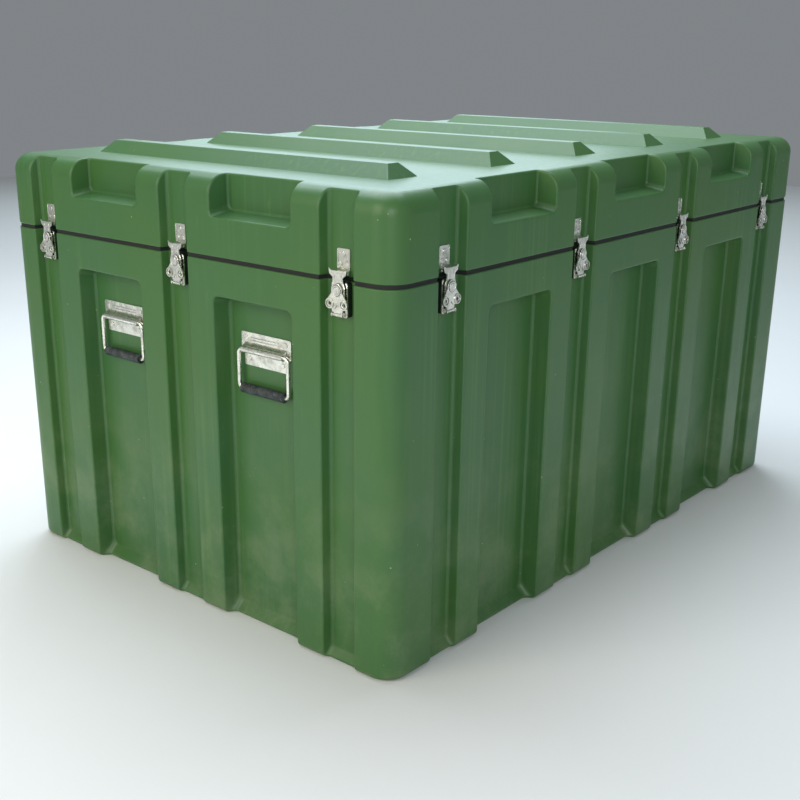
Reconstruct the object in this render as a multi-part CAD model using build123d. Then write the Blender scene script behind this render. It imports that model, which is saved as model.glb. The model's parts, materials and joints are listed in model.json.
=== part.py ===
from build123d import *
import os
from math import sqrt

os.makedirs("parts", exist_ok=True)

# Overall sizes of the closed case
case_length = 1530.0
case_width = 1050.0
parting_height = 700.0
lid_height = 146.0
corner_radius = 45.0
lid_edge_radius = 36.0
foot_edge_radius = 12.0
wall = 8.0

# Rim: the lid's skirt stands on a gasket, and a tongue on the base keeps it in place
rim_gap = 7.0
rim_radius = 2.5
rim_thickness = 17.0
rim_depth = 45.0
tongue_height = 14.0
tongue_thickness = 5.0
tongue_clearance = 1.5
gasket_setback = 2.5
gasket_width = 5.0

# Rounding where a recess meets the outer skin, and how far its tool stands out of the face
mouth_radius = 4.0
tool_reach = 10.0

# Latch channels, which run up the base and the lid; each foot is the slope that brings a recess of the base
# back out towards the skin at the floor, and drops below the floor by the part of it that is cut off
channel_mouth = 75.0
channel_floor = 66.0
channel_depth = 21.0
channel_foot = 28.0
channel_foot_drop = 8.0
channel_corner_radius = 8.0
end_channels = 3
end_margin = 121.0
side_channels = 4
side_margin = 153.0

# Recessed panels of the base, and pockets in the lid's edge, between the channels
panel_mouth = 198.0
panel_floor = 186.0
panel_depth = 37.0
panel_below_parting = 67.0
panel_foot = 40.0
panel_foot_drop = 17.0
pocket_mouth = 200.0
pocket_floor = 188.0
pocket_depth = 42.0
pocket_above_parting = 73.0
ledge_slope = 8.0
panel_corner_radius = 14.0
pocket_corner_radius = 12.0
pocket_floor_radius = 5.0
recess_floor_radius = 7.0

# Roof ribs, across the lid
ribs = 5
rib_margin = 181.0
rib_setback = 132.0
rib_height = 24.0
rib_base = 80.0
rib_top = 29.0
rib_end_slope = 23.0
rib_edge_radius = 3.0
rib_root = 2.0

# Latches. Depths are counted outwards from the channel's floor, heights from the parting plane.
running_clearance = 0.05
latch_block_width = 34.0
latch_block_depth = 10.0
latch_low = -62.0
latch_high = -4.0
latch_corner = 4.0
plate_thickness = 2.0
hook_standoff = 2.6
hook_pin_height = -57.5
hook_pin_radius = 1.5
hook_barrel_radius = 2.8
hook_barrel_width = 20.0
ear_radius = 4.2
ear_thickness = 2.0
ear_clearance = 0.6
hook_bar_width = 36.0
hook_waist_width = 22.0
hook_hip_width = 28.0
hook_hip = (-34.0, -14.0)
hook_waist = (-6.0, 4.0)
hook_shoulder_height = 9.0
claw_height = 12.5
claw_thickness = 2.0
claw_clearance = 0.4
horn_height = 18.0
horn_spread = 1.5
horn_notch = 4.0
wing_height = -17.0
wing_clearance = 0.3
wing_thickness = 2.0
stud_radius = 3.0
stud_head_radius = 6.0
stud_head_thickness = 1.8
hub_radius = 8.5
hub_ring_thickness = 1.3
lobe_radius = 8.5
lobe_spread = 15.5
lobe_drop = 22.5
lobe_hole_radius = 3.3
lobe_rim = 1.6
lobe_rim_thickness = 1.4
lobe_flank = (7.2, 4.3)
wing_shoulder = 7.6
notch_width = 12.0
notch_depth = 7.0

# Keepers, on the lid
keeper_width = 28.0
keeper_low = 13.0
keeper_high = 49.0
keeper_corner = 3.0
keeper_foot_low = 15.0
keeper_foot_rise = 3.0
keeper_bead_depth = 8.4
keeper_bead_height = 10.0
keeper_bead_radius = 2.0
keeper_bead_width = 34.0
keeper_flare = 1.3
keeper_rivets = [(0.0, 40.0), (-7.5, 24.0), (7.5, 24.0)]

# Rivets, and their washers inside the walls
rivet_radius = 2.4
rivet_head_radius = 4.3
low_head = 0.8
dome_head = 1.6
washer_radius = 7.5
washer_thickness = 1.5
formed_head = 1.8
latch_rivets = [(0.0, -10.0), (0.0, -36.0)]

# Chest handles on the end panels. Depths are counted from the panel's floor, heights from the bail's axis.
handle_below_panel = 94.0
bail_depth = 10.5
bail_rod_radius = 4.0
bail_half_width = 63.0
bail_drop = 73.0
bail_top_bend = 10.0
bail_low_bend = 8.0
barrel_radius = 6.5
barrel_half_width = 52.0
barrel_lip = 5.0
handle_plate_thickness = 2.5
handle_upper_width = 126.0
handle_upper_top = 30.0
handle_lower_width = 111.0
handle_split = -6.0
handle_lower_bottom = -28.0
handle_corner = 3.0
handle_rivets = [(-50.0, 20.0), (50.0, 20.0), (-42.0, -18.0), (42.0, -18.0)]
grip_radius = 9.5
grip_half_length = 54.0
grip_end = 6.0
grip_grooves = 10
grip_groove = 0.9

# Sizes that follow from the ones above
panel_height = parting_height - panel_below_parting
pocket_bottom = parting_height + pocket_above_parting
handle_height = panel_height - handle_below_panel
lid_top = parting_height + lid_height
base_rim = parting_height - rim_gap / 2
lid_rim = parting_height + rim_gap / 2
tongue_inset = wall + tongue_clearance
latch_front = latch_block_depth + plate_thickness
hook_depth = latch_front + hook_standoff
hook_pin_depth = hook_depth + plate_thickness / 2
wing_depth = hook_depth + plate_thickness + wing_clearance
claw_tip_depth = keeper_bead_depth + keeper_bead_radius + claw_clearance
rivet_hole_radius = rivet_radius + running_clearance


def spread(count, length, margin):
    """Places of equally spaced features along a face, its middle at zero."""
    pitch = (length - 2 * margin) / (count - 1)
    return [margin - length / 2 + i * pitch for i in range(count)]


def between(places):
    """Places halfway between neighbours."""
    return [(a + b) / 2 for a, b in zip(places, places[1:])]


def faces_of_case():
    """Each face as its name, its turn about Z, the distance from the middle, and its channels' places."""
    side_places = spread(side_channels, case_length, side_margin)
    end_places = spread(end_channels, case_width, end_margin)
    return [
        ("front", 0, case_width / 2, side_places),
        ("back", 180, case_width / 2, side_places),
        ("left", -90, case_length / 2, end_places),
        ("right", 90, case_length / 2, end_places),
    ]


def latch_stations():
    """Every latch place: name, turn, reach of its face, and place along the face."""
    found = []
    for face, turn, reach, places in faces_of_case():
        found += [(f"{face}_{i + 1}", turn, reach, place) for i, place in enumerate(places)]
    return found


def handle_stations():
    """Every handle place, on the panels of the two end faces."""
    found = []
    for face, turn, reach, places in faces_of_case()[2:]:
        found += [(f"{face}_{i + 1}", turn, reach, place) for i, place in enumerate(between(places))]
    return found


def on_face(turn, reach, along, inward, height):
    """Location on a face: its local -Y points out of the case and its local X runs along the face."""
    return Rot(0, 0, turn) * Pos(along, -reach + inward, height)


def block(inset, bottom, top, bottom_radius=0.0, top_radius=0.0):
    """The case's rounded box, its sides moved in by inset."""
    plan = RectangleRounded(case_length - 2 * inset, case_width - 2 * inset, corner_radius - inset)
    solid = Pos(0, 0, bottom) * extrude(plan, top - bottom)
    if bottom_radius:
        solid = fillet(solid.edges().group_by(Axis.Z)[0], bottom_radius)
    if top_radius:
        solid = fillet(solid.edges().group_by(Axis.Z)[-1], top_radius)
    return solid


def prism(outer, inner):
    """Solid between two rectangles of four corners each, with flat sides."""
    sides = [[outer[i], outer[i - 1], inner[i - 1], inner[i]] for i in range(4)]
    faces = [Face(Wire.make_polygon(corners)) for corners in [outer, inner, *sides]]
    return Solid(Shell(faces))


def recess(mouth, floor, depth, low, high, inset, slope_low=0.0, slope_high=0.0, corner=0.0,
           floor_radius=recess_floor_radius):
    """Tool that cuts a recess with drafted walls into a face.

    Its low and high ends are heights at the mouth, and move in by their slope at the floor.
    An inset makes the tool that leaves a wall of that thickness behind the recess.
    """
    draft = (mouth - floor) / 2 / depth
    rise_low, rise_high = slope_low / depth, slope_high / depth

    def section(y):
        half = mouth / 2 - draft * y + inset * sqrt(1 + draft**2)
        bottom = low + rise_low * y - inset * sqrt(1 + rise_low**2)
        top = high - rise_high * y + inset * sqrt(1 + rise_high**2)
        return [(-half, y, bottom), (half, y, bottom), (half, y, top), (-half, y, top)]

    tool = prism(section(-tool_reach), section(depth + inset))
    if corner:
        inward = [e for e in tool.edges() if abs((e % 0.5).Y) > 0.5]
        middle = (low + high) / 2
        chosen = [e for e in inward if (slope_high if e.center().Z > middle else slope_low)]
        tool = fillet(chosen, corner + inset)
    back = tool.faces().sort_by(Axis.Y)[-1]
    return fillet(back.edges(), floor_radius + inset)


def base_recesses(inset):
    """Recess tools of the base: channels and panels, each with its foot."""
    above = lid_top + 2 * wall + inset
    channel = recess(channel_mouth, channel_floor, channel_depth, -channel_foot_drop, above, inset,
                     slope_low=channel_foot, corner=channel_corner_radius)
    panel = recess(panel_mouth, panel_floor, panel_depth, -panel_foot_drop, panel_height, inset,
                   slope_low=panel_foot, slope_high=ledge_slope, corner=panel_corner_radius)
    return channels_and(channel, panel)


def lid_recesses(inset):
    """Recess tools of the lid: channels, and the pockets in its edge."""
    above = lid_top + 2 * wall + inset
    pocket = recess(pocket_mouth, pocket_floor, pocket_depth, pocket_bottom, above, inset,
                    slope_low=ledge_slope, corner=pocket_corner_radius, floor_radius=pocket_floor_radius)
    return channels_and(plain_channel(inset), pocket)


def plain_channel(inset):
    """Channel tool that runs right through the rim and the lid."""
    below, above = -2 * wall - inset, lid_top + 2 * wall + inset
    return recess(channel_mouth, channel_floor, channel_depth, below, above, inset)


def channels_and(channel, wide=None):
    """A channel tool at every channel of every face and, if given, a wide tool between each two."""
    tools = []
    for _, turn, reach, places in faces_of_case():
        tools += [on_face(turn, reach, place, 0, 0) * channel for place in places]
        if wide:
            tools += [on_face(turn, reach, place, 0, 0) * wide for place in between(places)]
    return tools


def ring(outer_inset, inner_inset, bottom, top):
    """Closed band that follows the case's outline, channels included."""
    outer = block(outer_inset, bottom, top) - channels_and(plain_channel(outer_inset))
    inner = block(inner_inset, bottom - wall, top + wall) - channels_and(plain_channel(inner_inset))
    return outer - inner


def near(shape, edge, steps=6, reach=0.01):
    """Whether an edge runs along the surface or the edges of a shape."""
    return all(shape.distance_to(Vertex(edge.position_at(i / steps))) < reach for i in range(steps + 1))


def soften(solid, plain, rim_height, reach=0.01):
    """Round the mouths of the recesses cut into a plain block, then the outer edge of its rim."""
    skin, lines = Compound(plain.faces()), Compound(plain.edges())
    mouths = [e for e in solid.edges() if abs(e.center().Z - rim_height) > reach]
    mouths = [e for e in mouths if near(skin, e) and not near(lines, e)]
    solid = fillet(mouths, mouth_radius)
    return fillet([e for e in solid.edges() if abs(e.center().Z - rim_height) < reach], rim_radius)


def rivet_holes(stations, offsets, height, depth):
    """Tools for rivet holes through the wall behind each station's floor."""
    tool = Rot(90, 0, 0) * Cylinder(rivet_hole_radius, 4 * rim_thickness)
    tools = []
    for _, turn, reach, along in stations:
        tools += [on_face(turn, reach, along + u, depth, height + z) * tool for u, z in offsets]
    return tools


def base_shell():
    """The tub: recessed skin, even wall, thick rim and the tongue that the lid's skirt drops over."""
    plain = block(0, 0, base_rim, bottom_radius=foot_edge_radius)
    shell = soften(plain - base_recesses(0), plain, base_rim)
    ledge = base_rim - rim_depth
    inside = block(wall, wall, ledge, bottom_radius=foot_edge_radius) - base_recesses(wall)
    mouth = block(rim_thickness, ledge, base_rim + wall) - channels_and(plain_channel(rim_thickness))
    shell = shell - inside - mouth
    shell = shell + ring(tongue_inset, tongue_inset + tongue_thickness, base_rim, base_rim + tongue_height)
    shell = shell - rivet_holes(latch_stations(), latch_rivets, parting_height, channel_depth)
    return shell - rivet_holes(handle_stations(), handle_rivets, handle_height, panel_depth)


def roof_rib(inset):
    """Rib across the roof with sloped sides and ends; an inset makes the hollow under it."""
    side_slope = (rib_base - rib_top) / 2 / rib_height
    end_slope = rib_end_slope / rib_height
    half_span = case_width / 2 - rib_setback

    def section(z):
        drop = lid_top + rib_height - z
        half_x = rib_top / 2 + side_slope * drop - inset * sqrt(1 + side_slope**2)
        half_y = half_span - rib_end_slope + end_slope * drop - inset * sqrt(1 + end_slope**2)
        return [(-half_x, -half_y, z), (half_x, -half_y, z), (half_x, half_y, z), (-half_x, half_y, z)]

    rib = prism(section(lid_top - inset - rib_root), section(lid_top + rib_height - inset))
    edges = [e for e in rib.edges() if e.center().Z > lid_top - inset]
    return fillet(edges, rib_edge_radius)


def lid_shell():
    """The lid: pocketed skin with a rounded top edge, roof ribs and an even wall."""
    plain = block(0, lid_rim, lid_top, top_radius=lid_edge_radius)
    shell = soften(plain - lid_recesses(0), plain, lid_rim)
    inside = block(wall, lid_rim - wall, lid_top - wall, top_radius=lid_edge_radius - wall)
    inside = inside - lid_recesses(wall)
    rib_places = spread(ribs, case_length, rib_margin)
    rib, hollow = roof_rib(0), roof_rib(wall)
    shell = shell + [Pos(x, 0, 0) * rib for x in rib_places]
    shell = shell - inside - [Pos(x, 0, 0) * hollow for x in rib_places]
    return shell - rivet_holes(latch_stations(), keeper_rivets, parting_height, channel_depth)


def slab(shape, back, front):
    """A flat outline stood upright and given depth, from back to front, outwards from the floor."""
    return extrude(Plane.XZ.offset(back) * shape, front - back)


def peg(along, height, radius, back, front):
    """Round peg pointing outwards."""
    return slab(Pos(along, height) * Circle(radius), back, front)


def outline(points):
    """Flat face inside a closed run of straight lines."""
    return make_face(Polyline(points, close=True))


def mirrored(points):
    """Points of the half outline at positive X, from below upwards, and of its mirror image."""
    return points + [(-u, z) for u, z in reversed(points)]


def side_shape(points, half_width):
    """Solid from a side outline of (depth, height) points, spread evenly along the face."""
    flipped = [(-depth, height) for depth, height in points]
    return extrude(Plane.YZ * outline(flipped), half_width, both=True)


def cross_rod(radius, depth, height, half_width):
    """Round rod lying along the face."""
    return Pos(0, -depth, height) * Rot(0, 90, 0) * Cylinder(radius, 2 * half_width)


def latch_outline():
    """Outline shared by a latch's block and its base plate."""
    middle, tall = (latch_low + latch_high) / 2, latch_high - latch_low
    return Pos(0, middle) * RectangleRounded(latch_block_width, tall, latch_corner)


def latch_block():
    """Moulded block that carries the latch off the channel's floor."""
    solid = slab(latch_outline(), 0, latch_block_depth)
    return solid - [peg(u, z, rivet_hole_radius, -wall, latch_front) for u, z in latch_rivets]


def latch_plate():
    """Base plate of a latch, with the two ears that hold the hook's pin."""
    plate = slab(latch_outline(), latch_block_depth, latch_front)
    place = hook_barrel_width / 2 + ear_clearance + ear_thickness / 2
    foot_depth = hook_pin_depth - latch_block_depth
    foot = Box(ear_thickness, foot_depth, 2 * ear_radius)
    ear = cross_rod(ear_radius, hook_pin_depth, hook_pin_height, ear_thickness / 2)
    ear = ear + Pos(0, -latch_block_depth - foot_depth / 2, hook_pin_height) * foot
    plate = plate + Pos(-place, 0, 0) * ear + Pos(place, 0, 0) * ear
    bore = cross_rod(hook_pin_radius + running_clearance, hook_pin_depth, hook_pin_height, latch_block_width)
    plate = plate - bore
    return plate - [peg(u, z, rivet_hole_radius, -wall, latch_front + wall) for u, z in latch_rivets]


def latch_pin():
    """Pin on which the hook swings."""
    half = hook_barrel_width / 2 + ear_clearance + ear_thickness + ear_clearance
    pin = cross_rod(hook_pin_radius, hook_pin_depth, hook_pin_height, half)
    return chamfer(pin.edges(), hook_pin_radius / 4)


def hook():
    """Hook plate with its barrel, claw and horns, and the stud that carries the wing."""
    back, front = hook_depth, hook_depth + plate_thickness
    claw_top = claw_height + claw_thickness
    side = side_shape(
        [(back, hook_pin_height), (front, hook_pin_height), (front, horn_height), (back, horn_height),
         (back, claw_top), (claw_tip_depth, claw_top), (claw_tip_depth, claw_height), (back, claw_height)],
        hook_bar_width,
    )
    barrel, bar = hook_barrel_width / 2, hook_bar_width / 2
    hip, waist = hook_hip_width / 2, hook_waist_width / 2
    half = [(barrel, hook_pin_height - ear_radius), (barrel, hook_pin_height + 2 * ear_radius),
            (hip, hook_hip[0]), (hip, hook_hip[1]), (waist, hook_waist[0]), (waist, hook_waist[1]),
            (bar, hook_shoulder_height), (bar + horn_spread, horn_height), (bar - horn_notch, claw_top)]
    plate = side & slab(outline(mirrored(half)), 0, 2 * front)
    plate = plate + cross_rod(hook_barrel_radius, hook_pin_depth, hook_pin_height, barrel)
    plate = plate - cross_rod(hook_pin_radius + running_clearance, hook_pin_depth, hook_pin_height, bar)
    stud_top = wing_depth + wing_thickness + wing_clearance
    plate = plate + peg(0, wing_height, stud_radius, front, stud_top + stud_head_thickness)
    head = peg(0, wing_height, stud_head_radius, stud_top, stud_top + stud_head_thickness)
    return plate + fillet(head.edges().sort_by(Axis.Y)[0], stud_head_thickness / 2)


def wing():
    """Butterfly wing: hub with its ring, two rimmed lobes with padlock holes."""
    back, front = wing_depth, wing_depth + wing_thickness
    rim_front = front + lobe_rim_thickness
    low = wing_height - lobe_drop
    foot = low - lobe_radius
    flank = (lobe_spread + lobe_flank[0], low + lobe_flank[1])
    half = [(lobe_spread, foot), flank, (wing_shoulder, wing_height)]
    hub = Pos(0, wing_height)
    lobes = [Pos(side * lobe_spread, low) for side in (-1, 1)]
    shape = outline(mirrored(half)) + hub * Circle(hub_radius)
    shape = shape + [lobe * Circle(lobe_radius) for lobe in lobes]
    below = foot - notch_depth
    shape = shape - outline([(0, foot + notch_depth), (notch_width, below), (-notch_width, below)])
    solid = slab(shape, back, front)
    lobe_ring = Circle(lobe_radius) - Circle(lobe_radius - lobe_rim)
    for lobe in lobes:
        solid = solid + slab(lobe * lobe_ring, front, rim_front)
        solid = solid - slab(lobe * Circle(lobe_hole_radius), 0, 2 * rim_front)
    hub_ring = hub * Circle(hub_radius) - hub * Circle(stud_head_radius + wing_clearance)
    solid = solid + slab(hub_ring, front, front + hub_ring_thickness)
    return solid - peg(0, wing_height, stud_radius + running_clearance, 0, 2 * front)


def keeper():
    """Keeper strip on the lid: a riveted plate whose foot flares out to a bead for the claw."""
    middle, tall = (keeper_low + keeper_high) / 2, keeper_high - keeper_low
    plate = slab(Pos(0, middle) * RectangleRounded(keeper_width, tall, keeper_corner), 0, plate_thickness)
    root = keeper_foot_low + keeper_foot_rise
    flare = side_shape(
        [(0, keeper_foot_low - plate_thickness),
         (keeper_bead_depth, keeper_bead_height - keeper_flare),
         (keeper_bead_depth, keeper_bead_height + keeper_flare),
         (plate_thickness, keeper_foot_low + keeper_flare), (plate_thickness, root), (0, root)],
        keeper_width / 2,
    )
    bead = cross_rod(keeper_bead_radius, keeper_bead_depth, keeper_bead_height, keeper_bead_width / 2)
    tools = [peg(u, z, rivet_hole_radius, -wall, wall) for u, z in keeper_rivets]
    return plate + flare + fillet(bead.edges(), keeper_bead_radius / 3) - tools


def rivet(along, height, plate_front, head, backing=wall):
    """Rivet from its head on a plate to the head formed on the washer behind the backing."""
    inside = -backing - washer_thickness
    solid = peg(along, height, rivet_radius, inside, plate_front)
    cap = peg(along, height, rivet_head_radius, plate_front, plate_front + head)
    cap = fillet(cap.edges().sort_by(Axis.Y)[0], head / 2)
    return solid + cap + peg(along, height, rivet_head_radius, inside - formed_head, inside)


def washer(along, height, backing=wall):
    """Washer behind a wall of the backing's thickness."""
    disc = peg(along, height, washer_radius, -backing - washer_thickness, -backing)
    return disc - peg(along, height, rivet_hole_radius, -2 * backing, 0)


def handle_plate():
    """Handle plate: a wide upper and a narrower lower flat, and the rolled barrel that holds the bail."""
    tall = handle_split - handle_lower_bottom
    upper = RectangleRounded(handle_upper_width, handle_upper_top - handle_split, handle_corner)
    lower = RectangleRounded(handle_lower_width, tall + 2 * handle_corner, handle_corner)
    shape = Pos(0, (handle_split + handle_upper_top) / 2) * upper
    shape = shape + Pos(0, handle_lower_bottom + tall / 2) * lower
    roll = side_shape(
        [(0, 0), (bail_depth, 0), (bail_depth, barrel_radius),
         (handle_plate_thickness, barrel_radius + barrel_lip), (0, barrel_radius + barrel_lip)],
        barrel_half_width,
    )
    plate = slab(shape, 0, handle_plate_thickness) + roll
    plate = plate + cross_rod(barrel_radius, bail_depth, 0, barrel_half_width)
    plate = plate - cross_rod(bail_rod_radius + running_clearance, bail_depth, 0, handle_upper_width)
    through = 2 * handle_plate_thickness
    return plate - [peg(u, z, rivet_hole_radius, -wall, through) for u, z in handle_rivets]


def bail():
    """Closed bail of round rod, hanging from the handle plate's barrel."""
    loop = outline([(-bail_half_width, 0), (bail_half_width, 0), (bail_half_width, -bail_drop),
                    (-bail_half_width, -bail_drop)])
    loop = fillet(loop.vertices().group_by(Axis.Y)[-1], bail_top_bend)
    loop = fillet(loop.vertices().group_by(Axis.Y)[0], bail_low_bend)
    path = (Plane.XZ.offset(bail_depth) * loop).wire()
    start = Plane(origin=(0, -bail_depth, 0), z_dir=(1, 0, 0))
    return sweep(start * Circle(bail_rod_radius), path=path)


def grip():
    """Ribbed rubber grip on the bail's lower run."""
    solid = cross_rod(grip_radius, bail_depth, -bail_drop, grip_half_length)
    solid = fillet(solid.edges(), grip_radius / 3)
    pitch = 2 * (grip_half_length - grip_end) / (grip_grooves - 1)
    core = Cylinder(grip_radius - grip_groove, pitch)
    groove = Rot(0, 90, 0) * (Cylinder(2 * grip_radius, pitch / 3) - core)
    for place in spread(grip_grooves, 2 * grip_half_length, grip_end):
        solid = solid - Pos(place, -bail_depth, -bail_drop) * groove
    bore_radius = bail_rod_radius + running_clearance
    return solid - cross_rod(bore_radius, bail_depth, -bail_drop, 2 * grip_half_length)


def save(name, shape):
    """Write one node's file."""
    export_step(shape, f"parts/{name}.step")


def group(pieces):
    """Several separate solids as one shape."""
    return Compound([solid for piece in pieces for solid in piece.solids()])


def placed(piece, stations, depth, height):
    """One copy of a piece at each station."""
    return [on_face(turn, reach, along, depth, height) * piece for _, turn, reach, along in stations]


def main():
    """Build every piece and write its file."""
    save("base_shell", base_shell())
    save("lid_shell", lid_shell())
    save("lid_gasket", ring(gasket_setback, gasket_setback + gasket_width, base_rim, lid_rim))

    latches = latch_stations()
    at_latch = (latches, channel_depth, parting_height)
    latch_pieces = {
        "latch_blocks": latch_block(),
        "latch_plates": latch_plate(),
        "latch_pins": latch_pin(),
        "latch_rivets": group([rivet(u, z, latch_front, low_head, rim_thickness) for u, z in latch_rivets]),
        "latch_washers": group([washer(u, z, rim_thickness) for u, z in latch_rivets]),
        "keepers": keeper(),
        "keeper_rivets": group([rivet(u, z, plate_thickness, dome_head) for u, z in keeper_rivets]),
        "keeper_washers": group([washer(u, z) for u, z in keeper_rivets]),
    }
    for name, piece in latch_pieces.items():
        save(name, group(placed(piece, *at_latch)))
    for station, piece in zip(latches, placed(hook(), *at_latch)):
        save(f"hook_{station[0]}", piece)
    for station, piece in zip(latches, placed(wing(), *at_latch)):
        save(f"wing_{station[0]}", piece)

    handles = handle_stations()
    at_handle = (handles, panel_depth, handle_height)
    handle_pieces = {
        "handle_plates": handle_plate(),
        "handle_rivets": group([rivet(u, z, handle_plate_thickness, dome_head) for u, z in handle_rivets]),
        "handle_washers": group([washer(u, z) for u, z in handle_rivets]),
    }
    for name, piece in handle_pieces.items():
        save(name, group(placed(piece, *at_handle)))
    for station, piece in zip(handles, placed(bail(), *at_handle)):
        save(f"bail_{station[0]}", piece)
    for station, piece in zip(handles, placed(grip(), *at_handle)):
        save(f"grip_{station[0]}", piece)


main()
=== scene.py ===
import json
import logging
from dataclasses import dataclass, field
from enum import Enum
from math import atan2, cos, pi, radians, sin
from typing import Iterable

import bpy
from mathutils import Matrix, Vector


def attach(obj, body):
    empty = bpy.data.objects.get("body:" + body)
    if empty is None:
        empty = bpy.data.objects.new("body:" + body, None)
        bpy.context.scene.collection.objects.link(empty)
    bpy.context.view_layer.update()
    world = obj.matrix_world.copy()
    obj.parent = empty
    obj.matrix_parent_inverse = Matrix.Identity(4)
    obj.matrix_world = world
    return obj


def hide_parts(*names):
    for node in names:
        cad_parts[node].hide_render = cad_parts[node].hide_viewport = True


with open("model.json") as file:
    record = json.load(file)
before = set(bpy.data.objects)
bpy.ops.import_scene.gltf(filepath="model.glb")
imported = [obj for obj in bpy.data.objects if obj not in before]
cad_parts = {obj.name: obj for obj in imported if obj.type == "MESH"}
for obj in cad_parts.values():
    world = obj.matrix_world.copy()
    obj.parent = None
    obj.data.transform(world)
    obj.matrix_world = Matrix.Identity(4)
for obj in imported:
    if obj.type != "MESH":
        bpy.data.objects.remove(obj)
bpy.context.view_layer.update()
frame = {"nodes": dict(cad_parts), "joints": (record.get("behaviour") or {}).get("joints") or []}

log = logging.getLogger("equipment_case")

MM = 0.001
Point = tuple[float, float, float]
Band = tuple[float, float]


def linear(hex_colour: str) -> tuple[float, float, float, float]:
    """Turn an sRGB hex colour into a linear one.

    Args:
        hex_colour: Six hex digits after a hash sign.

    Returns:
        Linear red, green, blue and full alpha.
    """
    channels = [int(hex_colour[i:i + 2], 16) / 255 for i in (1, 3, 5)]
    turned = [c / 12.92 if c <= 0.04045 else ((c + 0.055) / 1.055) ** 2.4 for c in channels]
    return turned[0], turned[1], turned[2], 1.0


# --------------------------------------------------------------------------- finishes


class Recipe:
    """A material's node tree while it is being put together."""

    def __init__(self, name: str) -> None:
        """Start an empty material with an output and a principled shader.

        Args:
            name: The material's name.
        """
        self.material = bpy.data.materials.new(name)
        self.material.use_nodes = True
        self.tree = self.material.node_tree
        self.tree.nodes.clear()
        self.output = self.node("ShaderNodeOutputMaterial")
        self.shader = self.node("ShaderNodeBsdfPrincipled")
        self.tree.links.new(self.shader.outputs[0], self.output.inputs["Surface"])
        self.place = self.node("ShaderNodeTexCoord").outputs["Object"]

    def node(self, kind: str, sockets: dict | None = None, **settings: object) -> bpy.types.Node:
        """Add a node with its settings, and link or set its sockets.

        Args:
            kind: The node's type name.
            sockets: Input name or number to a value or to an output socket.
            **settings: Attributes of the node.

        Returns:
            The new node.
        """
        added = self.tree.nodes.new(kind)
        for name, value in settings.items():
            setattr(added, name, value)
        for name, value in (sockets or {}).items():
            if isinstance(value, bpy.types.NodeSocket):
                self.tree.links.new(value, added.inputs[name])
            else:
                added.inputs[name].default_value = value
        return added

    def feed(self, **sockets: object) -> None:
        """Link or set sockets of the shader.

        Args:
            **sockets: Socket names, with underscores for spaces, to values or output sockets.
        """
        for name, value in sockets.items():
            socket = self.shader.inputs[name.replace("_", " ")]
            if isinstance(value, bpy.types.NodeSocket):
                self.tree.links.new(value, socket)
            else:
                socket.default_value = value

    def stretched(self, x: float, y: float, z: float) -> bpy.types.NodeSocket:
        """Object coordinates scaled along each axis."""
        return self.node("ShaderNodeMapping", {"Vector": self.place, "Scale": (x, y, z)}).outputs[0]

    def noise(self, vector: bpy.types.NodeSocket, scale: float, detail: float = 3.0,
              roughness: float = 0.55) -> bpy.types.NodeSocket:
        """Noise between 0 and 1, with scale features per metre."""
        sockets = {"Vector": vector, "Scale": scale, "Detail": detail, "Roughness": roughness}
        return self.node("ShaderNodeTexNoise", sockets).outputs["Fac"]

    def band(self, value: bpy.types.NodeSocket, low: float, high: float, out_low: float = 0.0,
             out_high: float = 1.0) -> bpy.types.NodeSocket:
        """Stretch a range of a value to another range, clamped and eased."""
        sockets = {"Value": value, 1: low, 2: high, 3: out_low, 4: out_high}
        return self.node("ShaderNodeMapRange", sockets, interpolation_type="SMOOTHSTEP").outputs[0]

    def blend(self, factor: bpy.types.NodeSocket | float, a: object, b: object) -> bpy.types.NodeSocket:
        """Mix two colours."""
        mixed = self.node("ShaderNodeMix", {0: factor, 6: a, 7: b}, data_type="RGBA")
        return mixed.outputs[2]

    def times(self, a: object, b: object) -> bpy.types.NodeSocket:
        """Product of two values."""
        return self.node("ShaderNodeMath", {0: a, 1: b}, operation="MULTIPLY").outputs[0]

    def plus(self, a: object, b: object) -> bpy.types.NodeSocket:
        """Sum of two values."""
        return self.node("ShaderNodeMath", {0: a, 1: b}, operation="ADD").outputs[0]

    def relief(self, height: bpy.types.NodeSocket, depth: float, strength: float = 1.0,
               under: bpy.types.NodeSocket | None = None) -> bpy.types.NodeSocket:
        """Bump from a height between 0 and 1.

        Args:
            height: The height.
            depth: How many metres the whole height stands for.
            strength: Share of the bump that shows.
            under: A coarser bump that this one lies on.

        Returns:
            The bumped normal.
        """
        sockets: dict = {"Height": height, "Distance": depth, "Strength": strength}
        if under:
            sockets["Normal"] = under
        return self.node("ShaderNodeBump", sockets).outputs[0]


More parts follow.
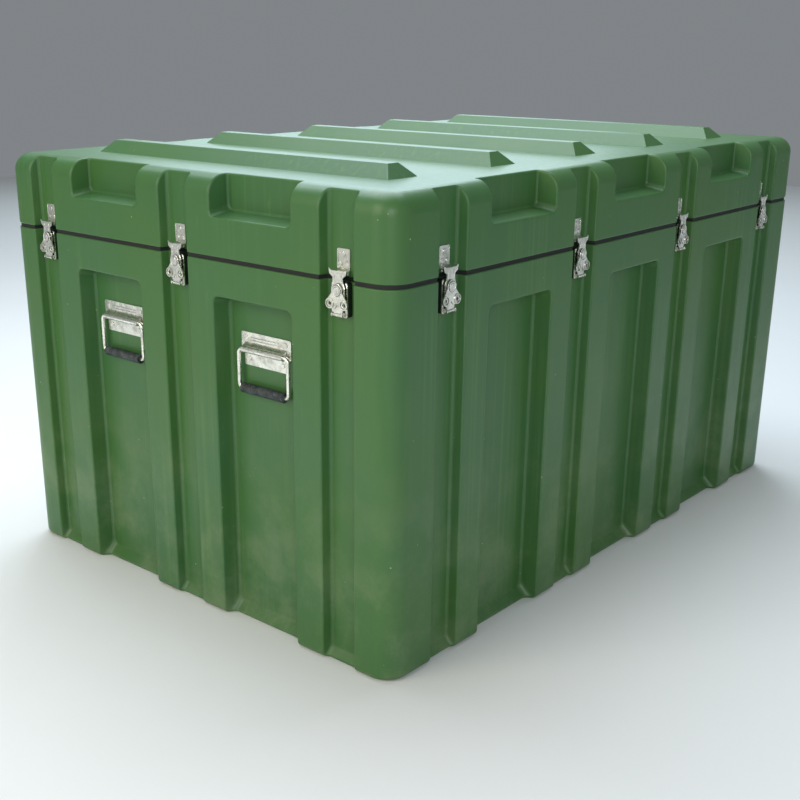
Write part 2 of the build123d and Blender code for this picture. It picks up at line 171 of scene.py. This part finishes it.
@dataclass(frozen=True)
class RotomouldedPolyethylene:
    """Linear polyethylene, moulded by rotation and pigmented right through.

    It gives the eye a waxy, semi-matt green with cloudy pigment, faint runs down the walls where it was
    washed and stood outside, a fine orange-peel skin from the mould, and small pale scuffs.
    """

    green: str = "#3E6831"
    cool_green: str = "#3A6638"
    pale_run: str = "#5C8047"
    # Tint of the painted floor-bounce light on the lower half.
    floor_bounce_tint: str = "#8C9A76"
    scuff: str = "#B9C4A6"
    cloud_size: float = 0.34
    cloud_band: Band = (0.36, 0.66)
    run_width: float = 0.012
    run_length: float = 0.9
    run_band: Band = (0.46, 0.74)
    run_strength: float = 0.42
    patches_per_metre: float = 3.2
    patch_band: Band = (0.38, 0.7)
    # Painted floor-bounce light: the height it fades over, its strength and its patches.
    floor_bounce_height: float = 0.5
    floor_bounce_strength: float = 0.3
    floor_bounce_patches_per_metre: float = 9.0
    floor_bounce_patch_band: Band = (0.4, 0.7)
    speck_spacing: float = 0.03
    speck_band: Band = (0.035, 0.06)
    speck_strength: float = 0.55
    rare_per_metre: float = 21.0
    rare_band: Band = (0.56, 0.6)
    rub_per_metre: Point = (60.0, 60.0, 9.0)
    rub_band: Band = (0.62, 0.72)
    rub_where: Band = (0.48, 0.6)
    rub_strength: float = 0.3
    peel_size: float = 0.0016
    peel_depth: float = 0.00006
    warp_size: float = 0.16
    warp_depth: float = 0.0012
    base_roughness: float = 0.3
    run_roughness: float = 0.12
    cloud_roughness: float = 0.1
    refraction: float = 1.51

    def make(self) -> bpy.types.Material:
        """Build the material.

        Returns:
            The finished material.
        """
        recipe = Recipe("rotomoulded_polyethylene")
        clouds = recipe.noise(recipe.place, 1 / self.cloud_size, 4.0)
        tone = recipe.band(clouds, *self.cloud_band)
        colour = recipe.blend(tone, linear(self.green), linear(self.cool_green))
        # Runs of rain and washing down the walls, in patches.
        across = 1 / self.run_width
        runs = recipe.noise(recipe.stretched(across, across, 1 / self.run_length), 1.0, 3.0, 0.6)
        patches = recipe.band(recipe.noise(recipe.place, self.patches_per_metre, 2.0), *self.patch_band)
        run_mask = recipe.times(recipe.band(runs, *self.run_band, 0.0, self.run_strength), patches)
        colour = recipe.blend(run_mask, colour, linear(self.pale_run))
        # Painted floor-bounce light: a lighter yellowish green on the lower half, fading upwards, in noisy
        # patches.
        height = recipe.node("ShaderNodeSeparateXYZ", {0: recipe.place}).outputs["Z"]
        low = recipe.band(height, 0.0, self.floor_bounce_height, self.floor_bounce_strength, 0.0)
        floor_bounce_patches = recipe.band(recipe.noise(recipe.place, self.floor_bounce_patches_per_metre, 5.0, 0.65), *self.floor_bounce_patch_band)
        colour = recipe.blend(recipe.times(low, floor_bounce_patches), colour, linear(self.floor_bounce_tint))
        # A few pale nicks.
        cells = {"Vector": recipe.place, "Scale": 1 / self.speck_spacing}
        specks = recipe.node("ShaderNodeTexVoronoi", cells)
        rare = recipe.band(recipe.noise(recipe.place, self.rare_per_metre, 1.0), *self.rare_band)
        nick = recipe.band(specks.outputs["Distance"], *self.speck_band, 1.0, 0.0)
        speck_mask = recipe.times(recipe.times(nick, rare), self.speck_strength)
        colour = recipe.blend(speck_mask, colour, linear(self.scuff))
        # Rubbed places where straps and hands go.
        rub = recipe.noise(recipe.stretched(*self.rub_per_metre), 1.0, 4.0, 0.7)
        rubbed = recipe.band(rub, *self.rub_band, 0.0, self.rub_strength)
        rub_mask = recipe.times(rubbed, recipe.band(clouds, *self.rub_where))
        colour = recipe.blend(rub_mask, colour, linear(self.pale_run))
        # The skin: a slow warp of the wall under the mould's orange peel.
        run_sheen = recipe.times(runs, self.run_roughness)
        sheen = recipe.plus(run_sheen, recipe.times(clouds, self.cloud_roughness))
        warp = recipe.relief(recipe.noise(recipe.place, 1 / self.warp_size, 2.0), self.warp_depth)
        peel_noise = recipe.noise(recipe.place, 1 / self.peel_size, 2.0)
        peel = recipe.relief(peel_noise, self.peel_depth, 1.0, warp)
        rough = recipe.plus(sheen, self.base_roughness)
        recipe.feed(Base_Color=colour, Roughness=rough, Normal=peel, IOR=self.refraction)
        return recipe.material


@dataclass(frozen=True)
class BrightZincPlate:
    """Steel sheet, pressed and zinc plated with a clear passivation.

    It gives the eye a pale, slightly warm mirror blurred by fine tumbling marks, with grey bloom in patches
    and painted shade: ambient occlusion darkens the corners of the pressings towards near-black.
    """

    name: str = "bright_zinc_plate"
    bright: str = "#F6F5EC"
    bloom: str = "#CFD0C6"
    # Painted shade in the corners of the pressings: its colour, reach, samples, band and strength.
    crevice_shade: str = "#23261F"
    crevice_shade_reach: float = 0.0045
    crevice_shade_samples: int = 8
    crevice_shade_band: Band = (0.35, 0.8)
    crevice_shade_strength: float = 0.85
    grain: float = 0.0007
    grain_roughness: float = 0.12
    bloom_size: float = 0.016
    bloom_band: Band = (0.42, 0.7)
    bloom_roughness: float = 0.16
    dent_size: float = 0.007
    dent_depth: float = 0.00025
    base_roughness: float = 0.2

    def make(self) -> bpy.types.Material:
        """Build the material.

        Returns:
            The finished material.
        """
        recipe = Recipe(self.name)
        bloom = recipe.band(recipe.noise(recipe.place, 1 / self.bloom_size, 4.0, 0.65), *self.bloom_band)
        colour = recipe.blend(bloom, linear(self.bright), linear(self.bloom))
        # Painted shade: ambient occlusion darkens the corners and crevices of the pressings towards a
        # near-black colour.
        reach = {"Distance": self.crevice_shade_reach}
        corners = recipe.node("ShaderNodeAmbientOcclusion", reach, samples=self.crevice_shade_samples)
        crevice_shade_mask = recipe.band(corners.outputs["AO"], *self.crevice_shade_band, self.crevice_shade_strength, 0.0)
        colour = recipe.blend(crevice_shade_mask, colour, linear(self.crevice_shade))
        grain = recipe.noise(recipe.place, 1 / self.grain, 3.0)
        blur = recipe.times(bloom, self.bloom_roughness)
        blur = recipe.plus(blur, recipe.times(grain, self.grain_roughness))
        rough = recipe.plus(blur, self.base_roughness)
        dents = recipe.relief(recipe.noise(recipe.place, 1 / self.dent_size, 2.0), self.dent_depth)
        recipe.feed(Base_Color=colour, Metallic=1.0, Roughness=rough, Normal=dents)
        return recipe.material


@dataclass(frozen=True)
class MouldedRubber:
    """Black rubber, compression moulded.

    It gives the eye a charcoal that greys where hands and dust wear it, with a soft broad sheen.
    """

    name: str
    black: str = "#24292B"
    worn: str = "#4A5456"
    wear_size: float = 0.012
    wear_band: Band = (0.4, 0.72)
    wear_roughness: float = 0.15
    grit: float = 0.0009
    grit_depth: float = 0.00008
    base_roughness: float = 0.52
    refraction: float = 1.52

    def make(self) -> bpy.types.Material:
        """Build the material.

        Returns:
            The finished material.
        """
        recipe = Recipe(self.name)
        wear = recipe.band(recipe.noise(recipe.place, 1 / self.wear_size, 4.0, 0.6), *self.wear_band)
        colour = recipe.blend(wear, linear(self.black), linear(self.worn))
        grit = recipe.noise(recipe.place, 1 / self.grit, 3.0)
        rough = recipe.plus(recipe.times(wear, self.wear_roughness), self.base_roughness)
        skin = recipe.relief(grit, self.grit_depth)
        recipe.feed(Base_Color=colour, Roughness=rough, Normal=skin, IOR=self.refraction)
        return recipe.material


@dataclass(frozen=True)
class StudioPaper:
    """Seamless background paper, matt and nearly white, with faint cloudy shade from its fibres."""

    white: str = "#E4E5E3"
    shade: str = "#DADBD9"
    shade_strength: float = 0.15
    fibres_per_metre: float = 2.0
    fibre_band: Band = (0.3, 0.7)
    roughness: float = 0.85

    def make(self) -> bpy.types.Material:
        """Build the material.

        Returns:
            The finished material.
        """
        recipe = Recipe("studio_paper")
        fibre = recipe.band(recipe.noise(recipe.place, self.fibres_per_metre), *self.fibre_band)
        shade = recipe.times(fibre, self.shade_strength)
        colour = recipe.blend(shade, linear(self.white), linear(self.shade))
        recipe.feed(Base_Color=colour, Roughness=self.roughness)
        return recipe.material


class Finish(Enum):
    """The finishes that the case wears."""

    SHELL = RotomouldedPolyethylene()
    ZINC = BrightZincPlate()
    DULL_ZINC = BrightZincPlate("dull_zinc_plate", bright="#BFC0BA", bloom="#8F908C", base_roughness=0.34)
    GRIP = MouldedRubber("grip_rubber")
    # Gasket in a near-black: partly the rubber's own black, partly painted shade standing in for the shadow
    # in the parting gap.
    GASKET_AND_GAP_SHADE = MouldedRubber("gasket_rubber_and_painted_shade", black="#0B0C0C", worn="#191A1A", base_roughness=0.7)
    # Latch blocks in a near-black: partly the blocks' own black, partly painted shade standing in for the
    # shadow beside each latch.
    BLOCK_AND_LATCH_SHADE = MouldedRubber("latch_block_and_painted_shade", black="#101112", worn="#1C1D1E", base_roughness=0.42)


@dataclass
class Wardrobe:
    """Builds each finish once and dresses pieces in it."""

    made: dict[Finish, bpy.types.Material] = field(default_factory=dict)

    def dress(self, names: Iterable[str], finish: Finish) -> None:
        """Give carried-over nodes a finish.

        Args:
            names: Node names.
            finish: The finish that they wear.
        """
        for name in names:
            self.put_on(bpy.data.objects[name], finish)
            log.info("%s wears %s", name, finish.name)

    def put_on(self, piece: bpy.types.Object, finish: Finish) -> None:
        """Give one piece a finish in every material slot.

        Args:
            piece: The piece.
            finish: The finish that it wears.
        """
        if finish not in self.made:
            self.made[finish] = finish.value.make()
        if not piece.material_slots:
            piece.data.materials.append(self.made[finish])
        for material_slot in piece.material_slots:
            material_slot.material = self.made[finish]


# --------------------------------------------------------------------------- modelling

RING_FACETS = 40
BEAD_FACETS = 12
SMOOTH_UNDER = 50.0


@dataclass(frozen=True)
class Seat:
    """Where a piece of hardware sits: a point on a joint's axis and the way its face looks."""

    name: str
    point: Vector
    turn: float

    def matrix(self) -> Matrix:
        """From the seat's own axes, whose -Y looks out of the case, to the case's."""
        return Matrix.Translation(self.point) @ Matrix.Rotation(self.turn, 4, "Z")


def seats(joint_prefix: str) -> list[Seat]:
    """Find the seats of one kind of hardware from its joints.

    Args:
        joint_prefix: What the names of the joints start with.

    Returns:
        A seat for each joint, named by the rest of the joint's name.
    """
    found = []
    for joint in frame["joints"]:
        if joint["name"].startswith(joint_prefix):
            name = joint["name"][len(joint_prefix):]
            point = Vector(joint["pos_m"])
            on_end = name.startswith(("left", "right"))
            out = Vector((point.x, 0.0)) if on_end else Vector((0.0, point.y))
            found.append(Seat(name, point, atan2(out.x, -out.y)))
    return found


def turned(name: str, profile: list[tuple[float, float]], steps: int) -> bpy.types.Object:
    """Turn a closed profile about the X axis, as on a lathe.

    Args:
        name: Name of the piece.
        profile: Places along X and radii in millimetres, in order round the section.
        steps: Facets round the piece.

    Returns:
        The turned piece, at the origin.
    """
    bpy.ops.object.select_all(action="DESELECT")
    first_place, first_radius = profile[0]
    bpy.ops.mesh.primitive_plane_add(size=MM, location=(first_place * MM, 0.0, first_radius * MM))
    piece = bpy.context.object
    piece.name = name
    bpy.ops.object.mode_set(mode="EDIT")
    bpy.ops.mesh.select_mode(type="VERT")
    bpy.ops.mesh.select_all(action="SELECT")
    bpy.ops.mesh.merge(type="CENTER")
    for (place, radius), (next_place, next_radius) in zip(profile, profile[1:] + profile[:1]):
        step = ((next_place - place) * MM, 0.0, (next_radius - radius) * MM)
        bpy.ops.mesh.extrude_region_move(TRANSFORM_OT_translate={"value": step})
    bpy.ops.mesh.select_all(action="SELECT")
    bpy.ops.mesh.spin(steps=steps, angle=2 * pi, center=(0.0, 0.0, 0.0), axis=(1.0, 0.0, 0.0))
    bpy.ops.mesh.select_all(action="SELECT")
    bpy.ops.mesh.remove_doubles(threshold=MM / 1000)
    bpy.ops.mesh.normals_make_consistent(inside=False)
    bpy.ops.object.mode_set(mode="OBJECT")
    bpy.ops.object.transform_apply(location=True, rotation=True, scale=True)
    bpy.ops.object.shade_smooth_by_angle(angle=radians(SMOOTH_UNDER))
    return piece


def half_round(radius: float, height: float, corners: int = 6) -> list[tuple[float, float]]:
    """Section of a raised ring: a half ellipse on a flat.

    Args:
        radius: Radius of the ring's middle.
        height: How far it stands up, in the direction of -X.
        corners: Points on the arc.

    Returns:
        Places and radii in millimetres.
    """
    angles = [pi * i / (corners - 1) for i in range(corners)]
    return [(-height * sin(a), radius + height * cos(a)) for a in angles]


def ring_on_face(name: str, radius: float, height: float, across: float, up: float,
                 out: float) -> bpy.types.Object:
    """Model a raised ring that lies on a face looking along -Y.

    Args:
        name: Name of the piece.
        radius: Radius of the ring's middle.
        height: How far it stands up.
        across: Place along X.
        up: Place along Z.
        out: Place of the face along -Y.

    Returns:
        The ring, at its place on the seat.
    """
    ring = turned(name, half_round(radius, height), RING_FACETS)
    ring.data.transform(Matrix.Rotation(pi / 2, 4, "Z"))
    ring.data.transform(Matrix.Translation((across * MM, -out * MM, up * MM)))
    return ring


def bead_on_face(name: str, length: float, radius: float, across: float, up: float, out: float,
                 upright: bool = False) -> bpy.types.Object:
    """Model a long raised bead with round ends that lies on a face looking along -Y.

    Args:
        name: Name of the piece.
        length: Length over its ends.
        radius: Half its width, and how far it stands up.
        across: Place of its middle along X.
        up: Place of its middle along Z.
        out: Place of the face along -Y.
        upright: Whether it runs up instead of along.

    Returns:
        The bead, at its place on the seat.
    """
    straight = length / 2 - radius
    tip = radius / 100
    arc = [pi / 2 * i / 4 for i in range(5)]
    left = [(-straight - radius * cos(a), max(radius * sin(a), tip)) for a in arc]
    right = [(straight + radius * sin(a), max(radius * cos(a), tip)) for a in arc]
    bead = turned(name, left + right, BEAD_FACETS)
    if upright:
        bead.data.transform(Matrix.Rotation(pi / 2, 4, "Y"))
    bead.data.transform(Matrix.Translation((across * MM, -out * MM, up * MM)))
    return bead


def joined(name: str, pieces: list[bpy.types.Object]) -> bpy.types.Object:
    """Join several pieces into one.

    Args:
        name: Name of the result.
        pieces: What is joined.

    Returns:
        The joined piece.
    """
    bpy.ops.object.select_all(action="DESELECT")
    for piece in pieces:
        piece.select_set(True)
    bpy.context.view_layer.objects.active = pieces[0]
    bpy.ops.object.join()
    pieces[0].name = name
    return pieces[0]


@dataclass
class Fitter:
    """Copies a modelled pattern to each seat, with a mesh of its own, and fixes it to its body."""

    wardrobe: Wardrobe

    def fit(self, pattern: bpy.types.Object, seat: Seat, name: str, body: str,
            finish: Finish) -> bpy.types.Object:
        """Place one copy.

        Args:
            pattern: The modelled pattern, on the seat's own axes.
            seat: Where it goes.
            name: Name of the copy.
            body: The body that carries it.
            finish: What it wears.

        Returns:
            The copy.
        """
        copy = pattern.copy()
        copy.data = pattern.data.copy()
        copy.name = name
        copy.data.transform(seat.matrix())
        bpy.context.scene.collection.objects.link(copy)
        self.wardrobe.put_on(copy, finish)
        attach(copy, body)
        log.info("%s sits on %s", name, body)
        return copy


def scrap(pattern: bpy.types.Object) -> None:
    """Throw a pattern away once its copies are made."""
    bpy.data.objects.remove(pattern)


# --------------------------------------------------------------------------- hardware


@dataclass
class LatchPressings:
    """Pressed detail of the twist latches: rings on the wing, ribs on the hook's neck, beads on the keeper.

    Places are in millimetres from the wing's pivot, a point on the wing's back face.
    """

    wing_face: float = 2.0
    collar_radius: float = 10.4
    collar_height: float = 0.9
    eyelet_radius: float = 4.3
    eyelet_height: float = 0.7
    lobe_across: float = 15.5
    lobe_down: float = 22.5
    neck_face: float = -0.3
    neck_rib_length: float = 15.0
    neck_rib_radius: float = 1.1
    neck_rib_up: float = 20.0
    neck_rib_across: float = 7.5
    keeper_face: float = -14.9
    keeper_bead_radius: float = 0.9
    keeper_bead_across: float = 11.8
    keeper_bead_length: float = 26.0
    keeper_bead_up: float = 50.0

    def wing_rings(self) -> bpy.types.Object:
        """Model the collar round the hub and the eyelets of both lobes.

        Returns:
            The joined rings, on the seat's own axes.
        """
        face = self.wing_face
        rings = [ring_on_face("collar", self.collar_radius, self.collar_height, 0.0, 0.0, face)]
        for side in (-1, 1):
            across, up = side * self.lobe_across, -self.lobe_down
            rings.append(ring_on_face("eyelet", self.eyelet_radius, self.eyelet_height, across, up, face))
        return joined("wing_rings_pattern", rings)

    def neck_ribs(self) -> bpy.types.Object:
        """Model the two ribs pressed into the hook's neck.

        Returns:
            The joined ribs, on the seat's own axes.
        """
        ribs = []
        for side in (-1, 1):
            across = side * self.neck_rib_across
            ribs.append(bead_on_face("neck_rib", self.neck_rib_length, self.neck_rib_radius, across,
                                     self.neck_rib_up, self.neck_face, upright=True))
        return joined("neck_ribs_pattern", ribs)

    def keeper_beads(self) -> bpy.types.Object:
        """Model the two upright beads along the keeper's edges.

        Returns:
            The joined beads, on the seat's own axes.
        """
        beads = []
        for side in (-1, 1):
            across = side * self.keeper_bead_across
            beads.append(bead_on_face("keeper_bead", self.keeper_bead_length, self.keeper_bead_radius,
                                      across, self.keeper_bead_up, self.keeper_face, upright=True))
        return joined("keeper_beads_pattern", beads)

    def build(self, fitter: Fitter) -> None:
        """Model each pattern once and fit it at every latch.

        Args:
            fitter: What places and dresses the copies.
        """
        rings, ribs, beads = self.wing_rings(), self.neck_ribs(), self.keeper_beads()
        slot, zinc = "latch_steel", Finish.ZINC
        for seat in seats("wing_turn_"):
            fitter.fit(rings, seat, f"wing_rings_{seat.name}", f"wing_{seat.name}", zinc)
            fitter.fit(ribs, seat, f"neck_ribs_{seat.name}", f"hook_{seat.name}", zinc)
            fitter.fit(beads, seat, f"keeper_beads_{seat.name}", "lid", zinc)
        for pattern in (rings, ribs, beads):
            scrap(pattern)


@dataclass
class ChestHandle:
    """Ribbed grip of a handle and the beads pressed into its plate.

    Places are in millimetres from the bail's pivot.
    """

    drop: float = 73.0
    half_length: float = 54.0
    bore: float = 4.1
    body_radius: float = 8.4
    rib_radius: float = 9.4
    rib_sink: float = 0.15
    rib_foot: float = 0.28
    rib_crown: float = 0.14
    end_round: float = 0.9
    end_shoulder: float = 1.2
    collar_length: float = 4.5
    ribs: int = 15
    plate_face: float = -8.0
    plate_bead_radius: float = 0.9
    plate_bead_length: float = 78.0
    plate_bead_heights: tuple[float, ...] = (16.0, 21.0)

    def grip(self) -> bpy.types.Object:
        """Turn the grip: end collars and rounded ribs round a bore for the rod.

        Returns:
            The grip, on the seat's own axes.
        """
        body, rib = self.body_radius, self.rib_radius - self.rib_sink
        half_run = self.half_length - self.collar_length
        collar = [(half_run, body), (half_run + self.end_round, self.rib_radius),
                  (self.half_length - self.end_round, self.rib_radius),
                  (self.half_length, self.rib_radius - self.end_shoulder), (self.half_length, self.bore)]
        profile = [(-place, radius) for place, radius in reversed(collar)]
        pitch = 2 * half_run / self.ribs
        for i in range(self.ribs):
            middle = -half_run + (i + 0.5) * pitch
            foot, crown = self.rib_foot * pitch, self.rib_crown * pitch
            profile += [(middle - foot, body), (middle - crown, rib)]
            profile += [(middle + crown, rib), (middle + foot, body)]
        profile += collar
        grip = turned("grip_pattern", profile, RING_FACETS)
        grip.data.transform(Matrix.Translation((0.0, 0.0, -self.drop * MM)))
        return grip

    def plate_beads(self) -> bpy.types.Object:
        """Model the long beads pressed into the plate above the barrel.

        Returns:
            The joined beads, on the seat's own axes.
        """
        beads = [bead_on_face("plate_bead", self.plate_bead_length, self.plate_bead_radius, 0.0, height,
                              self.plate_face) for height in self.plate_bead_heights]
        return joined("plate_beads_pattern", beads)

    def build(self, fitter: Fitter) -> None:
        """Model each pattern once and fit it at every handle.

        Args:
            fitter: What places and dresses the copies.
        """
        grip, beads = self.grip(), self.plate_beads()
        for seat in seats("handle_swing_"):
            body = f"handle_{seat.name}"
            rubber = fitter.fit(grip, seat, f"ribbed_grip_{seat.name}", body, Finish.GRIP)
            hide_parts(f"grip_{seat.name}")
            fitter.fit(beads, seat, f"plate_beads_{seat.name}", "base", Finish.ZINC)
        scrap(grip)
        scrap(beads)


# --------------------------------------------------------------------------- studio


@dataclass(frozen=True)
class Lamp:
    """A square soft light: where it hangs, what it points at, its side, its watts and its colour."""

    name: str
    place: Point
    target: Point
    size: float
    power: float
    colour: str

    def hang(self) -> None:
        """Hang the light."""
        data = bpy.data.lights.new(self.name, "AREA")
        data.size = self.size
        data.energy = self.power
        data.color = linear(self.colour)[:3]
        light = bpy.data.objects.new(self.name, data)
        light.location = self.place
        aim = Vector(self.target) - Vector(self.place)
        light.rotation_euler = aim.to_track_quat("-Z", "Y").to_euler()
        bpy.context.scene.collection.objects.link(light)


@dataclass
class Studio:
    """Floor, soft lights and the camera. Angles are in degrees, places and sizes in metres."""

    camera_place: Point = (-2.1314, -1.6701, 1.0653)
    heading: float = 41.331
    tilt: float = -18.819
    roll: float = -0.104
    focal_length: float = 52.57
    shift: tuple[float, float] = (0.0433, 0.0485)
    sight: float = 60.0
    floor_size: float = 14.0
    floor_gap: float = 0.0005
    surround_colour: str = "#DDE4EA"
    surround_strength: float = 0.3
    lamps: tuple[Lamp, ...] = (
        Lamp("overhead", (0.4, 0.8, 3.4), (0.0, 0.0, 0.6), 3.2, 150.0, "#E8F3FF"),
        Lamp("end_fill", (-4.0, 0.6, 2.2), (-0.7, 0.0, 0.5), 2.6, 78.0, "#FFF6E2"),
        Lamp("corner_fill", (-3.3, -3.1, 1.9), (-0.7, -0.5, 0.5), 1.8, 52.0, "#FBFDFF"),
        Lamp("side_fill", (0.2, -4.4, 2.0), (0.0, -0.5, 0.5), 2.2, 10.0, "#F6FBFF"),
        Lamp("back_sky", (4.2, 3.8, 3.3), (0.0, 0.0, 0.8), 3.4, 120.0, "#DCF2FF"),
    )

    def floor(self) -> None:
        """Lay a large plain floor just under the case."""
        bpy.ops.object.select_all(action="DESELECT")
        bpy.ops.mesh.primitive_plane_add(size=self.floor_size, location=(0.0, 0.0, -self.floor_gap))
        paper = bpy.context.object
        paper.name = "studio_floor"
        paper.data.materials.append(StudioPaper().make())

    def lights(self) -> None:
        """Hang the soft lights and set an even pale surround."""
        for lamp in self.lamps:
            lamp.hang()
        world = bpy.data.worlds.new("surround")
        world.use_nodes = True
        background = world.node_tree.nodes["Background"]
        background.inputs["Color"].default_value = linear(self.surround_colour)
        background.inputs["Strength"].default_value = self.surround_strength
        bpy.context.scene.world = world

    def camera(self) -> None:
        """Set the camera up."""
        data = bpy.data.cameras.new("camera")
        data.lens = self.focal_length
        data.shift_x, data.shift_y = self.shift
        data.clip_end = self.sight
        eye = bpy.data.objects.new("camera", data)
        turn = Matrix.Rotation(radians(self.heading - 90.0), 4, "Z")
        lean = Matrix.Rotation(radians(90.0 + self.tilt), 4, "X")
        spin = Matrix.Rotation(radians(-self.roll), 4, "Z")
        eye.matrix_world = Matrix.Translation(self.camera_place) @ turn @ lean @ spin
        bpy.context.scene.collection.objects.link(eye)
        bpy.context.scene.camera = eye

    def look(self) -> None:
        """Set how light turns into picture."""
        bpy.context.scene.view_settings.view_transform = "Standard"


def dress_nodes(wardrobe: Wardrobe) -> None:
    """Give every carried-over node its finish.

    Args:
        wardrobe: Where the finishes come from.
    """
    nodes = sorted(frame["nodes"])
    kinds = {
        Finish.SHELL: ["base_shell", "lid_shell"],
        Finish.GASKET_AND_GAP_SHADE: ["lid_gasket"],
        Finish.BLOCK_AND_LATCH_SHADE: ["latch_blocks"],
        Finish.GRIP: [node for node in nodes if node.startswith("grip_")],
        Finish.DULL_ZINC: [node for node in nodes if node.endswith("_washers")],
    }
    named = {node for kind in kinds.values() for node in kind}
    kinds[Finish.ZINC] = [node for node in nodes if node not in named]
    for finish, names in kinds.items():
        wardrobe.dress(names, finish)


def main() -> None:
    """Dress the carried-over nodes, fit the modelled hardware and set the studio up."""
    logging.basicConfig(level=logging.INFO, format="%(message)s")
    wardrobe = Wardrobe()
    dress_nodes(wardrobe)
    fitter = Fitter(wardrobe)
    LatchPressings().build(fitter)
    ChestHandle().build(fitter)
    studio = Studio()
    studio.floor()
    studio.lights()
    studio.camera()
    studio.look()


if __name__ == "__main__":
    main()
